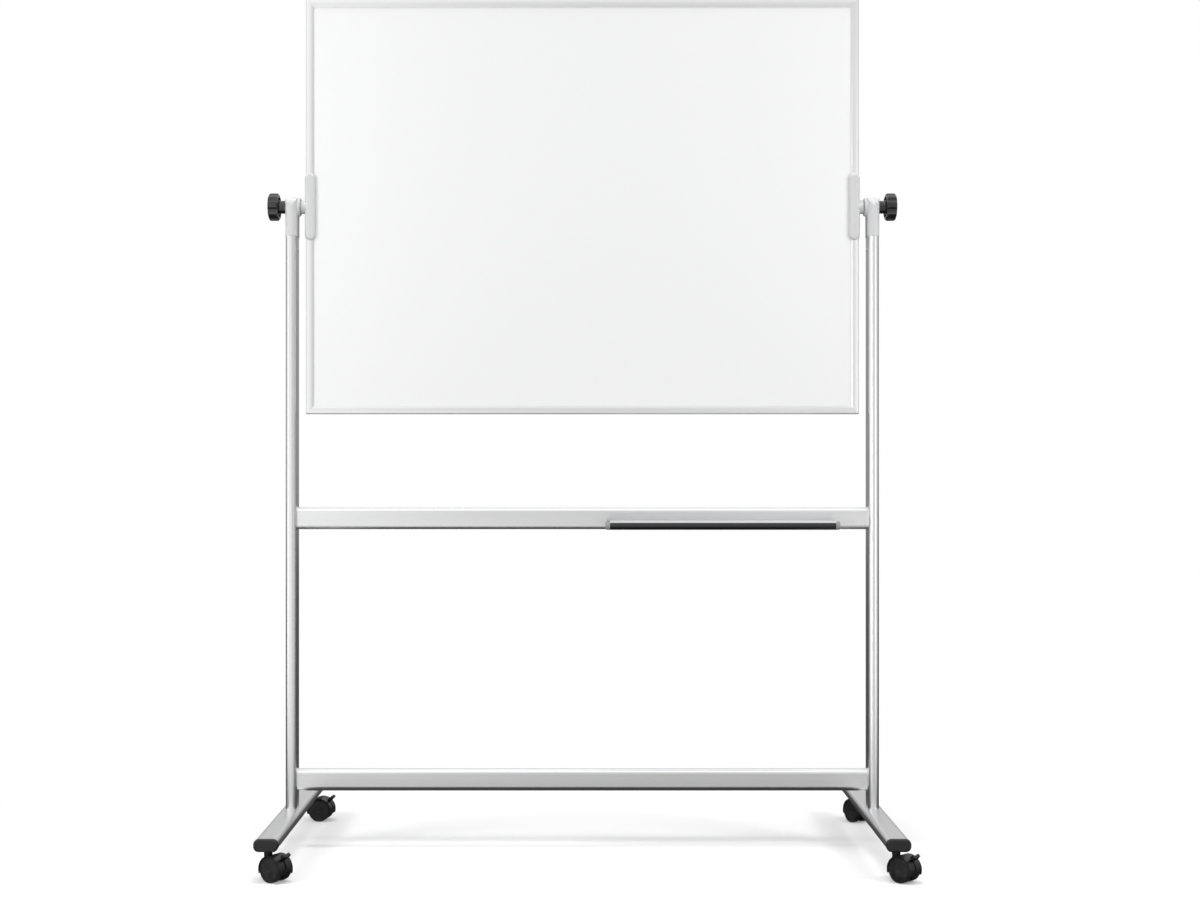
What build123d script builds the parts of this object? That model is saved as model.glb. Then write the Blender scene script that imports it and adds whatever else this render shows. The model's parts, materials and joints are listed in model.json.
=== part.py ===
from build123d import *
import math
import os

# A free-standing whiteboard on casters. Millimetres, +Z up, +X to the right of
# someone who faces the board, +Y away from them. The origin is on the floor,
# midway between the two posts.

# ---------------------------------------------------------------- board sizes
board_width = 1200.0
board_height = 900.0
pivot_height = 1393.0
frame_depth = 22.0
frame_face = 17.4
frame_flat = 13.0
frame_crown = 0.35
frame_wall = 1.8
frame_edge_radius = 2.5
groove_web = 1.8
panel_bite = 6.4
lip_tip = 0.8
lip_rise = 2.0
sheet_thickness = 0.6
panel_clearance = 0.1
key_leg = 45.0
key_clearance = 0.2

# ------------------------------------------------------------ stand tube sizes
tube_wide = 48.0
tube_deep = 24.0
tube_corner_radius = 10.0
tube_wall = 1.6
insert_clearance = 0.15
foot_length = 633.0
arm_underside = 63.3
mid_bar_height = 716.7
low_bar_height = 148.5

# ----------------------------------------------------- pivot and bracket sizes
pivot_axle_radius = 5.0
running_gap = 0.05
moving_gap = 0.3
bracket_width = 25.5
bracket_tall = 149.0
bracket_half_depth = 15.0
bracket_edge_radius = 8.0
bracket_web = 2.6
bracket_frame_gap = 0.1
boss_radius = 14.75
boss_reach = 8.0
friction_washer_thickness = 1.5
friction_washer_radius = 14.2
stud_flange_radius = 9.0
stud_flange_thickness = 3.0
barrel_radius = 19.75
barrel_reach = 6.4
gusset_step = 0.6
bush_wall = 2.0
head_wall = 0.8
head_below_pivot = 65.0
head_above_pivot = 19.75
head_shoulder_radius = 19.0
head_edge_radius = 3.0
spigot_length = 55.0
spigot_wall = 3.0

# -------------------------------------------------------------------- the knob
knob_hub_radius = 14.0
knob_hub_length = 13.5
knob_radius = 29.6
knob_thickness = 23.0
knob_taper = 4.0
knob_face_radius = 27.0
knob_face_dome = 1.5
knob_rim_rounding = 1.5
knob_lobes = 8
scallop_radius = 9.0
scallop_depth = 4.5
knob_insert_wall = 2.0
knob_insert_length = 26.0
knob_washer_radius = 13.0
knob_washer_thickness = 1.5
washer_play = 0.1

# ------------------------------------------------------------------ the caster
wheel_radius = 25.0
caster_width = 42.0
caster_trail = 20.0
stem_inset = 32.5
web_width = 12.0
wheel_side_gap = 0.6
wheel_edge_radius = 1.5
wheel_rim = 3.2
hub_radius = 6.5
wheel_disc_wall = 2.4
disc_dome = 1.0
disc_groove = 1.0
hood_gap = 1.2
hood_wall = 2.6
hood_inset = 1.5
hood_drop_angle = 17.0
axle_radius = 3.0
tower_radius = 8.5
tower_gap = 2.0
stem_pin_radius = 4.0
stem_thread_radius = 5.0
stem_pin_bottom = 29.0
collar_radius = 7.5
socket_radius = 8.0
lever_thickness = 3.0
lever_side_gap = 0.3
lever_hub_radius = 7.0
lever_arm_width = 6.5
lever_angle = 47.0
lever_travel = 28.0
lever_head_width = 20.0
lever_tip_radius = 44.0
lever_lift = 1.0

# --------------------------------------------------------------- the marker tray
tray_left_end = 50.0
tray_length = 500.0
tray_wall = 1.8
tray_reach = 67.5
tray_back_top = 730.0
tray_floor = 694.0
tray_lip_top = 712.0
tray_front_radius = 13.0
tray_cap_width = 9.0
tray_cap_spigot = 2.8
tray_cap_relief = 0.3

# ------------------------------------------------------------------- fasteners
crossbar_bolt_radius = 3.0
crossbar_bolt_spacing = 24.0
foot_bolt_radius = 4.0
foot_bolt_spacing = 28.0
plug_length = 30.0
access_hole_radius = 7.0
hole_clearance = 0.2
cover_rim = 1.0
cover_thickness = 1.0
foot_cap_depth = 8.0
foot_cap_overhang = 0.9
foot_cap_edge = 3.5
foot_cap_spigot = 22.0
foot_cap_wall = 2.0
screw_radius = 2.0
pan_head_radius = 3.6
pan_head_height = 2.2

# ------------------------------------------------------- sizes that follow these
half_board = board_width / 2
board_bottom = pivot_height - board_height / 2
board_top = pivot_height + board_height / 2
bracket_outside = half_board + bracket_web
boss_face = bracket_outside + boss_reach
barrel_face = boss_face + friction_washer_thickness + moving_gap
post_x = barrel_face + barrel_reach + tube_deep / 2
post_inner_face = post_x - tube_deep / 2
post_outer_face = post_x + tube_deep / 2
arm_top = arm_underside + tube_deep
arm_middle = arm_underside + tube_deep / 2
head_outer_face = post_outer_face + head_wall
head_bottom = pivot_height - head_below_pivot
head_top = pivot_height + head_above_pivot
knob_washer_face = head_outer_face + moving_gap
knob_face = knob_washer_face + knob_washer_thickness + washer_play
tube_inner_wide = tube_wide - 2 * tube_wall
tube_inner_deep = tube_deep - 2 * tube_wall
insert_wide = tube_inner_wide - 2 * insert_clearance
insert_deep = tube_inner_deep - 2 * insert_clearance
wheel_width = (caster_width - web_width) / 2 - wheel_side_gap
wheel_inner_face = web_width / 2 + wheel_side_gap
wheel_outer_face = wheel_inner_face + wheel_width
hood_inner_radius = wheel_radius + hood_gap
hood_radius = hood_inner_radius + hood_wall
stem_y = foot_length / 2 - stem_inset
pivot_bore_radius = pivot_axle_radius + running_gap
panel_edge = frame_face - panel_bite
sheet_face = frame_depth / 2 - lip_rise
bolt_head_seat = post_inner_face + tube_wall

# One row for each caster: name, place of the stem, heading of the trailing wheels.
casters = (
    ("front_left", -post_x, -stem_y, -34.0),
    ("front_right", post_x, -stem_y, -48.0),
    ("rear_left", -post_x, stem_y, -10.0),
    ("rear_right", post_x, stem_y, -62.0),
)


# -------------------------------------------------------------------- helpers
def along_x(x, y, z, outward=1):
    """A plane at a point whose normal runs along +X, or -X when outward is -1."""
    return Plane(origin=(x, y, z), x_dir=(0, outward, 0), z_dir=(outward, 0, 0))


def rod_x(start, end, radius, y=0.0, z=pivot_height):
    """A round bar from X=start to X=end."""
    return extrude(along_x(start, y, z) * Circle(radius), end - start)


def rod_z(start, end, radius, x=0.0, y=0.0):
    """A round bar from Z=start to Z=end."""
    return extrude(Plane.XY.offset(start) * Pos(x, y) * Circle(radius), end - start)


def rod_y(start, end, radius, x=0.0, z=0.0):
    """A round bar from Y=start to Y=end."""
    plane = Plane(origin=(x, start, z), x_dir=(0, 0, 1), z_dir=(0, 1, 0))
    return extrude(plane * Circle(radius), end - start)


def rounded_section(length, width):
    """The outline of the stand's tube, or of an insert or cap that follows it."""
    inset = (tube_deep - width) / 2
    return RectangleRounded(length, width, tube_corner_radius - inset)


def tube_outline():
    bore = rounded_section(tube_inner_wide, tube_inner_deep)
    return rounded_section(tube_wide, tube_deep) - bore


def dome_arc(radius, rise, top):
    """The outline of a shallow spherical cap that ends on the axis at height top."""
    sphere = (radius * radius + rise * rise) / (2 * rise)
    middle = radius / 2
    drop = sphere - math.sqrt(sphere * sphere - middle * middle)
    return ThreePointArc((radius, top - rise), (middle, top - drop), (0, top))


def left_of(solid):
    """The mirror image of a right-hand piece."""
    return mirror(solid, about=Plane.YZ)


def on_both_sides(solids):
    """A right-hand set of pieces with its mirror images, as separate solids."""
    return list(solids) + [left_of(solid) for solid in solids]


# ------------------------------------------------------------------- the stand
def foot_arm():
    """A tube that lies front to back, drilled for the casters and the post bolts."""
    plane = Plane(origin=(0, 0, arm_middle), x_dir=(1, 0, 0), z_dir=(0, 1, 0))
    tube_half = foot_length / 2 - foot_cap_depth
    arm = extrude(plane * tube_outline(), tube_half, both=True)
    for y in (-stem_y, stem_y):
        arm -= rod_z(arm_underside - 1, arm_middle, stem_thread_radius + hole_clearance, y=y)
    for y in (-foot_bolt_spacing / 2, foot_bolt_spacing / 2):
        arm -= rod_z(arm_middle, arm_top + 1, foot_bolt_radius + hole_clearance, y=y)
        arm -= rod_z(arm_underside - 1, arm_middle, access_hole_radius, y=y)
    return arm


def foot_end_cap():
    """The black plug in a foot arm's front end: a rounded lip and a ribbed spigot."""
    tube_end = -(foot_length / 2 - foot_cap_depth)
    plane = Plane(origin=(0, tube_end, arm_middle), x_dir=(1, 0, 0), z_dir=(0, -1, 0))
    grow = 2 * foot_cap_overhang
    lip = extrude(plane * rounded_section(tube_wide + grow, tube_deep + grow), foot_cap_depth)
    lip = fillet(lip.faces().sort_by(Axis.Y)[0].edges(), foot_cap_edge)
    spigot = extrude(plane * rounded_section(insert_wide, insert_deep), -foot_cap_spigot)
    pocket = rounded_section(insert_wide - 2 * foot_cap_wall, insert_deep - 2 * foot_cap_wall)
    spigot -= extrude(plane * pocket, -foot_cap_spigot)
    stem_room = rod_z(arm_underside, arm_top, socket_radius + moving_gap, y=-stem_y)
    return (lip + spigot) - stem_room


def post():
    """An upright tube with bolt holes where the crossbars meet it."""
    outline = Rot(Z=90) * tube_outline()
    upright = extrude(Plane.XY.offset(arm_top) * Pos(post_x, 0) * outline, head_bottom - arm_top)
    for z in crossbar_bolt_heights():
        upright -= rod_x(post_inner_face - 1, post_x, crossbar_bolt_radius + hole_clearance, z=z)
        upright -= rod_x(post_x, post_outer_face + 1, access_hole_radius, z=z)
    screw_z = head_screw_height()
    upright -= rod_x(post_inner_face - 1, post_x, screw_radius + hole_clearance, z=screw_z)
    return upright


def crossbar_bolt_heights():
    offset = crossbar_bolt_spacing / 2
    return [z + side * offset for z in (mid_bar_height, low_bar_height) for side in (-1, 1)]


def head_screw_height():
    return head_bottom - spigot_length / 2


def crossbar(height):
    """A rail that butts against the flat inner faces of both posts."""
    plane = Plane(origin=(0, 0, height), x_dir=(0, 0, 1), z_dir=(1, 0, 0))
    rail = extrude(plane * tube_outline(), post_inner_face, both=True)
    if height == mid_bar_height:
        for x in tray_screw_places():
            front = -tube_deep / 2
            rail -= rod_y(front - 1, 0, screw_radius, x=x, z=tray_screw_height())
    return rail


def crossbar_end_plugs():
    """Solid inserts in the crossbar ends, tapped for the two crossbar bolts."""
    plugs = []
    for height in (mid_bar_height, low_bar_height):
        start = post_inner_face - plug_length
        plane = Plane(origin=(start, 0, height), x_dir=(0, 0, 1), z_dir=(1, 0, 0))
        plug = extrude(plane * rounded_section(insert_wide, insert_deep), plug_length)
        for side in (-1, 1):
            z = height + side * crossbar_bolt_spacing / 2
            plug -= rod_x(start - 1, post_inner_face + 1, crossbar_bolt_radius, z=z)
        plugs.append(plug)
    return on_both_sides(plugs)


def socket_bolt(radius, length):
    """A socket-head bolt along +Z: the head stands on Z=0 and the shank hangs below."""
    head_radius = 1.65 * radius
    head_height = 1.9 * radius
    bolt = Cylinder(head_radius, head_height, align=(Align.CENTER, Align.CENTER, Align.MIN))
    bolt += Cylinder(radius, length, align=(Align.CENTER, Align.CENTER, Align.MAX))
    hexagon = RegularPolygon(0.85 * radius, 6)
    bolt -= extrude(Plane.XY.offset(head_height) * hexagon, -radius)
    return bolt


def crossbar_bolts():
    """Bolts that bear on a post's inner wall and screw into the crossbar's plug."""
    bolt = socket_bolt(crossbar_bolt_radius, plug_length - 4)
    placed = [along_x(bolt_head_seat, 0, z) * bolt for z in crossbar_bolt_heights()]
    return on_both_sides(placed)


def post_foot_plugs():
    """Inserts in the bottom of the posts, tapped for the foot bolts."""
    outline = Rot(Z=90) * rounded_section(insert_wide, insert_deep)
    plug = extrude(Plane.XY.offset(arm_top) * Pos(post_x, 0) * outline, plug_length)
    for side in (-1, 1):
        y = side * foot_bolt_spacing / 2
        plug -= rod_z(arm_top - 1, arm_top + plug_length + 1, foot_bolt_radius, x=post_x, y=y)
    return on_both_sides([plug])


def post_foot_bolts():
    """Bolts that come up through a foot arm's top wall into the post."""
    bolt = Rot(X=180) * socket_bolt(foot_bolt_radius, plug_length - 4)
    seat = arm_top - tube_wall
    places = [side * foot_bolt_spacing / 2 for side in (-1, 1)]
    return on_both_sides([Pos(post_x, y, seat) * bolt for y in places])


def hole_cover():
    """A push-in plug with a thin flange that lies on +Z, over an access hole."""
    flange = Cylinder(
        access_hole_radius + cover_rim, cover_thickness, align=(Align.CENTER, Align.CENTER, Align.MIN)
    )
    flange = fillet(flange.edges().sort_by(Axis.Z)[-1], cover_thickness / 2)
    stem = Cylinder(
        access_hole_radius - hole_clearance, tube_wall + 2, align=(Align.CENTER, Align.CENTER, Align.MAX)
    )
    hollow = Cylinder(
        access_hole_radius - hole_clearance - 1, tube_wall + 2, align=(Align.CENTER, Align.CENTER, Align.MAX)
    )
    return flange + (stem - hollow)


def access_hole_covers():
    """The covers on the posts' outer faces and under the foot arms."""
    cover = hole_cover()
    placed = [along_x(post_outer_face, 0, z) * cover for z in crossbar_bolt_heights()]
    under = Rot(X=180) * cover
    for side in (-1, 1):
        y = side * foot_bolt_spacing / 2
        placed.append(Pos(post_x, y, arm_underside) * under)
    return on_both_sides(placed)


# -------------------------------------------------------------------- post heads
def post_head():
    """The cast head on a post: a domed block, a horizontal barrel and its gusset."""
    head_deep = tube_deep + 2 * head_wall
    head_wide = tube_wide + 2 * head_wall
    tall = head_top - head_bottom
    plan = Pos(post_x, 0) * Rot(Z=90) * rounded_section(head_wide, head_deep)
    block = extrude(Plane.XY.offset(head_bottom) * plan, tall)
    centre_z = head_bottom + tall / 2
    side = Rectangle(head_wide, tall)
    side = fillet(side.vertices().sort_by(Axis.Y)[-2:], head_shoulder_radius)
    block &= extrude(along_x(post_x, 0, centre_z) * side, head_deep, both=True)
    front = Rectangle(head_deep, tall)
    front = fillet(front.vertices().sort_by(Axis.Y)[-2:], head_edge_radius)
    facing = Plane(origin=(post_x, 0, centre_z), x_dir=(1, 0, 0), z_dir=(0, -1, 0))
    block &= extrude(facing * front, head_wide, both=True)

    barrel = rod_x(barrel_face, post_x, barrel_radius)
    slope = along_x(barrel_face + 2, 0, pivot_height) * Circle(barrel_radius - gusset_step)
    run = barrel_reach + head_wall + 1
    gusset = extrude(slope, run * math.sqrt(2), dir=(1, 0, -1))
    barrel = fillet(barrel.edges().sort_by(Axis.X)[0], 1.2)

    inner = Rot(Z=90) * rounded_section(insert_wide, insert_deep)
    spigot_bottom = head_bottom - spigot_length
    spigot = extrude(Plane.XY.offset(spigot_bottom) * Pos(post_x, 0) * inner, spigot_length)
    pocket = Rot(Z=90) * rounded_section(insert_wide - 2 * spigot_wall, insert_deep - 2 * spigot_wall)
    pocket_top = pivot_height - barrel_radius - spigot_wall
    hollow = extrude(
        Plane.XY.offset(spigot_bottom - 1) * Pos(post_x, 0) * pocket, pocket_top - spigot_bottom + 1
    )
    bore = rod_x(barrel_face - 1, head_outer_face + 1, pivot_bore_radius + bush_wall)
    screw_hole = rod_x(post_inner_face, post_x, screw_radius, z=head_screw_height())
    return block + barrel + gusset + spigot - hollow - bore - screw_hole


def head_screws():
    """A button-head screw through each post's inner face into the head's spigot."""
    reach = tube_wall + insert_clearance + spigot_wall + 2
    screw = pan_screw(reach)
    seat = along_x(post_inner_face, 0, head_screw_height(), outward=-1)
    return on_both_sides([seat * screw])


def pan_screw(length):
    """A pan-head screw along +Z: the head stands on Z=0 and the shank hangs below."""
    head = Cylinder(
        pan_head_radius, pan_head_height, align=(Align.CENTER, Align.CENTER, Align.MIN)
    )
    head = fillet(head.edges().sort_by(Axis.Z)[-1], pan_head_height / 2)
    return head + Cylinder(screw_radius, length, align=(Align.CENTER, Align.CENTER, Align.MAX))


def pivot_bushes():
    """Plain sleeves that line the heads' bores."""
    outer = rod_x(barrel_face, head_outer_face, pivot_bore_radius + bush_wall)
    return on_both_sides([outer - rod_x(barrel_face - 1, head_outer_face + 1, pivot_bore_radius)])


# --------------------------------------------------------------------- the tray
def tray_screw_height():
    return tray_floor + tray_wall + pan_head_radius + 3


def tray_screw_places():
    ends = (tray_left_end + 40, tray_left_end + tray_length - 40)
    return (ends[0], sum(ends) / 2, ends[1])


def tray_outer_face(shrink=0.0, high=tray_lip_top):
    """The outline of the tray's floor and curved front, seen along +X, in (Y, Z)."""
    back = -tube_deep / 2
    front = back - tray_reach + shrink
    low = tray_floor + shrink
    radius = tray_front_radius - shrink
    start = (back - shrink, high)
    corner = (back - shrink, low)
    turn = (front + radius, low)
    centre = (front + radius, low + radius)
    diagonal = radius * math.sqrt(0.5)
    middle = (centre[0] - diagonal, centre[1] - diagonal)
    up = (front, low + radius)
    outline = Polyline(start, corner, turn)
    outline += ThreePointArc(turn, middle, up)
    outline += Polyline(up, (front, high), start)
    return make_face(outline)


def marker_tray():
    """One extrusion: a back plate on the crossbar, a floor and an upturned front lip."""
    back = -tube_deep / 2
    plane = Plane(
        origin=(tray_left_end + tray_cap_width, 0, 0), x_dir=(0, 1, 0), z_dir=(1, 0, 0)
    )
    body = tray_outer_face() - tray_outer_face(tray_wall)
    plate_height = tray_back_top - tray_floor
    plate = Pos(back - tray_wall / 2, tray_floor + plate_height / 2) * Rectangle(
        tray_wall, plate_height
    )
    lip_x = back - tray_reach + tray_wall / 2
    bead = Pos(lip_x + tray_wall / 2, tray_lip_top) * Circle(tray_wall)
    profile = body + plate + bead
    tray = extrude(plane * profile, tray_length - 2 * tray_cap_width)
    relief = Box(
        2 * (tray_cap_spigot + insert_clearance),
        tray_reach - tray_wall - tray_front_radius,
        tray_cap_relief,
        align=(Align.CENTER, Align.MAX, Align.MAX),
    )
    for x in (tray_left_end + tray_cap_width, tray_left_end + tray_length - tray_cap_width):
        tray -= Pos(x, back - tray_wall, tray_floor + tray_wall) * relief
    for x in tray_screw_places():
        tray -= rod_y(back - tray_wall - 1, back + 1, screw_radius + hole_clearance, x=x, z=tray_screw_height())
    return tray


def tray_end_caps():
    """Moulded ends that plug into the tray's channel and round off its corners."""
    back = -tube_deep / 2
    spigot_top = tray_lip_top - tray_wall - 2 * insert_clearance
    spigot_shape = tray_outer_face(tray_wall + insert_clearance, spigot_top)
    hollow_shape = tray_outer_face(2 * tray_wall + insert_clearance)
    shell_shape = tray_outer_face()
    caps = []
    for x, outward in (
        (tray_left_end + tray_length - tray_cap_width, 1),
        (tray_left_end + tray_cap_width, -1),
    ):
        plane = Plane(origin=(x, 0, 0), x_dir=(0, 1, 0), z_dir=(1, 0, 0))
        cap = extrude(plane * shell_shape, outward * tray_cap_width)
        rim = cap.faces().sort_by(Axis.X)[-1 if outward > 0 else 0]
        front_edges = rim.edges().filter_by(lambda e: e.center().Y < back - 1)
        cap = fillet(front_edges, tray_cap_width / 3)
        cap += extrude(plane * spigot_shape, -outward * tray_cap_spigot)
        cap -= extrude(
            plane.offset(-outward * (tray_cap_spigot + 1))
            * hollow_shape,
            outward * (tray_cap_spigot + tray_cap_width - tray_wall),
        )
        caps.append(cap)
    return caps


def tray_screws():
    """Screws through the tray's back plate into the crossbar."""
    screw = pan_screw(tray_wall + tube_wall + 4)
    seat_y = -tube_deep / 2 - tray_wall
    screws = []
    for x in tray_screw_places():
        plane = Plane(origin=(x, seat_y, tray_screw_height()), x_dir=(1, 0, 0), z_dir=(0, -1, 0))
        screws.append(plane * screw)
    return screws


# -------------------------------------------------------------------- the board
def rail_profile():
    """The frame extrusion: a crowned face each side, bevelled lips, groove and chamber."""
    half = frame_depth / 2
    inner = sheet_face + lip_tip
    line = Polyline((0, 0), (0, half - frame_edge_radius))
    line += RadiusArc((0, half - frame_edge_radius), (frame_edge_radius, half - frame_crown), frame_edge_radius)
    line += ThreePointArc(
        (frame_edge_radius, half - frame_crown),
        ((frame_edge_radius + frame_flat) / 2, half),
        (frame_flat, half - frame_crown),
    )
    line += Polyline(
        (frame_flat, half - frame_crown),
        (frame_face, inner),
        (frame_face, sheet_face + panel_clearance),
        (panel_edge, sheet_face + panel_clearance),
        (panel_edge, 0),
        (0, 0),
    )
    upper = make_face(line)
    profile = upper + mirror(upper, about=Plane.XZ)
    chamber_width = panel_edge - groove_web - frame_wall
    chamber = Pos(frame_wall + chamber_width / 2, 0) * Rectangle(
        chamber_width, frame_depth - 2 * frame_wall
    )
    return profile - chamber


def rail(length):
    """A mitred length of frame along X, its outer edge on Z=0 and its face growing up."""
    plane = Plane(origin=(length / 2, 0, 0), x_dir=(0, 0, 1), z_dir=(-1, 0, 0))
    bar = extrude(plane * rail_profile(), length)
    half = length / 2
    wedge = Polyline(
        (-half, 0),
        (half, 0),
        (half - frame_face, frame_face),
        (frame_face - half, frame_face),
        close=True,
    )
    keep = extrude(Plane.XZ * make_face(wedge), frame_depth, both=True)
    return bar & keep


def bottom_rail():
    return Pos(0, 0, board_bottom) * rail(board_width)


def top_rail():
    return Pos(0, 0, board_top) * Rot(Y=180) * rail(board_width)


def stile():
    """The right-hand upright of the frame, drilled for its bracket screws."""
    upright = Pos(half_board, 0, pivot_height) * Rot(Y=-90) * rail(board_height)
    for z in bracket_screw_heights():
        upright -= rod_x(half_board - frame_wall - 1, half_board + 1, screw_radius, z=z)
    return upright


def corner_keys():
    """L-shaped keys inside the frame's chamber that lock the mitres."""
    near = frame_wall + key_clearance
    far = panel_edge - groove_web - key_clearance
    outline = Polyline(
        (near, near),
        (near + key_leg, near),
        (near + key_leg, far),
        (far, far),
        (far, near + key_leg),
        (near, near + key_leg),
        close=True,
    )
    half_deep = frame_depth / 2 - frame_wall - key_clearance
    key = extrude(Plane.XZ * make_face(outline), half_deep, both=True)
    low_left = Pos(-half_board, 0, board_bottom) * key
    high_left = Pos(-half_board, 0, board_top) * mirror(key, about=Plane.XY)
    return on_both_sides([low_left, high_left])


def panel_layer(low, high):
    """A flat layer of the board from Y=low to Y=high, held in the frame's groove."""
    inset = panel_edge + panel_clearance
    layer = Box(
        board_width - 2 * inset,
        high - low,
        board_height - 2 * inset,
        align=(Align.CENTER, Align.MIN, Align.CENTER),
    )
    return Pos(0, low, pivot_height) * layer


# ------------------------------------------------------------- board brackets
def bracket_screw_heights():
    return [pivot_height + side * bracket_tall / 3 for side in (-1, 1)]


def countersink(reach):
    """A countersunk screw along +Z: the flat head ends at Z=0 and the shank hangs below."""
    depth = bracket_web - 0.6
    cone = Cone(
        screw_radius, pan_head_radius, depth, align=(Align.CENTER, Align.CENTER, Align.MAX)
    )
    return cone + Cylinder(screw_radius, reach, align=(Align.CENTER, Align.CENTER, Align.MAX))


def board_bracket():
    """The cast bar that grips the frame's edge and carries the pivot boss."""
    centre_x = bracket_outside - bracket_width / 2
    plane = Plane(origin=(centre_x, 0, pivot_height), x_dir=(0, 0, 1), z_dir=(0, 1, 0))
    bar = extrude(plane * SlotOverall(bracket_tall, bracket_width), bracket_half_depth, both=True)
    rims = bar.faces().filter_by(Axis.Y).edges()
    bar = fillet(rims, bracket_edge_radius)
    boss = rod_x(centre_x, boss_face, boss_radius)
    boss = fillet(boss.edges().sort_by(Axis.X)[-1], 1.0)
    bar += boss
    slot_half = frame_depth / 2 + bracket_frame_gap
    slot_end = half_board + bracket_frame_gap
    slot_start = bracket_outside - bracket_width - 1
    slot = Box(
        slot_end - slot_start,
        2 * slot_half,
        bracket_tall + 2,
        align=(Align.MIN, Align.CENTER, Align.CENTER),
    )
    bar -= Pos(slot_start, 0, pivot_height) * slot
    bar -= rod_x(slot_end, boss_face + 1, pivot_bore_radius)
    flange_pocket = RegularPolygon(stud_flange_radius + insert_clearance, 6)
    bar -= extrude(along_x(slot_end, 0, pivot_height) * flange_pocket, stud_flange_thickness + insert_clearance)
    for z in bracket_screw_heights():
        hole = countersink(bracket_web + 1)
        bar -= along_x(bracket_outside, 0, z) * hole
    return bar


def bracket_screws():
    """Countersunk screws that hold each bracket to the frame's edge."""
    screw = countersink(bracket_web + frame_wall + 4)
    placed = [along_x(bracket_outside, 0, z) * screw for z in bracket_screw_heights()]
    return on_both_sides(placed)


def pivot_studs():
    """Threaded studs, held by a hexagonal flange behind each bracket's boss."""
    start = half_board + 2 * bracket_frame_gap
    flange = extrude(
        along_x(start, 0, pivot_height) * RegularPolygon(stud_flange_radius, 6), stud_flange_thickness
    )
    tip = knob_face + knob_insert_length
    shank = rod_x(start, tip, pivot_axle_radius)
    shank = chamfer(shank.edges().sort_by(Axis.X)[-1], 1.0)
    return on_both_sides([flange + shank])


def friction_washers():
    """Washers between the bracket bosses and the post heads."""
    end = boss_face + friction_washer_thickness
    ring = rod_x(boss_face, end, friction_washer_radius)
    return on_both_sides([ring - rod_x(boss_face - 1, end + 1, pivot_bore_radius)])


# ------------------------------------------------------------------- the knobs
def knob():
    """A lobed star knob: revolved body with a tapered face, scallops and a hollow back."""
    back = knob_hub_length
    front = knob_hub_length + knob_thickness
    outline = Polyline(
        (0, 0),
        (knob_hub_radius, 0),
        (knob_hub_radius, back),
        (knob_radius - 3, back),
        (knob_radius, back + 3),
        (knob_radius, front - knob_taper),
        (knob_face_radius, front - knob_face_dome),
    )
    outline += dome_arc(knob_face_radius, knob_face_dome, front)
    outline += Line((0, front), (0, 0))
    section = make_face(outline)
    rims = [v for v in section.vertices() if v.X > knob_face_radius - 1 and v.Y > back + 4]
    section = fillet(rims, knob_rim_rounding)
    body = revolve(Plane.XZ * section, Axis.Z)
    cutter_centre = knob_radius + scallop_radius - scallop_depth
    scallop = rod_z(back - 1, front + 1, scallop_radius)
    for place in PolarLocations(cutter_centre, knob_lobes, start_angle=180 / knob_lobes):
        body -= place * scallop
    ring_inner = knob_hub_radius + 1.5
    ring_outer = knob_radius - scallop_depth - 3
    recess = Circle(ring_outer) - Circle(ring_inner)
    body -= extrude(Plane.XY.offset(back) * recess, knob_thickness * 0.55)
    insert_radius = pivot_bore_radius + knob_insert_wall
    body -= Cylinder(
        insert_radius, knob_insert_length + 1, align=(Align.CENTER, Align.CENTER, Align.MIN)
    )
    return along_x(knob_face, 0, pivot_height) * body


def knob_insert():
    """The threaded bush moulded into the knob's hub."""
    end = knob_face + knob_insert_length
    outer = rod_x(knob_face, end, pivot_bore_radius + knob_insert_wall)
    return outer - rod_x(knob_face - 1, end + 1, pivot_bore_radius)


def knob_washer():
    """The thrust washer that travels with the knob."""
    end = knob_washer_face + knob_washer_thickness
    ring = rod_x(knob_washer_face, end, knob_washer_radius)
    return ring - rod_x(knob_washer_face - 1, end + 1, pivot_bore_radius)


# ------------------------------------------------------------------ the casters
# A caster is modelled with its stem on the Z axis, its wheels trailing along +X
# and its axle along Y, and is then turned to its heading and moved to its arm.
def disc_about_axle(radius, low, high):
    """A round plate about the axle, from Y=low to Y=high."""
    return rod_y(low, high, radius, x=caster_trail, z=wheel_radius)


def wedge_about_axle(inner, outer, start, end, half_width):
    """A sector of a ring about the axle, between two angles above the horizontal."""
    middle = math.radians((start + end) / 2)
    a = math.radians(start)
    b = math.radians(end)

    def point(radius, angle):
        return (caster_trail + radius * math.cos(angle), wheel_radius + radius * math.sin(angle))

    outline = Line(point(inner, a), point(outer, a))
    outline += ThreePointArc(point(outer, a), point(outer, middle), point(outer, b))
    outline += Line(point(outer, b), point(inner, b))
    outline += ThreePointArc(point(inner, b), point(inner, middle), point(inner, a))
    face = Plane.XZ * make_face(outline)
    return extrude(face, half_width, both=True)


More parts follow.
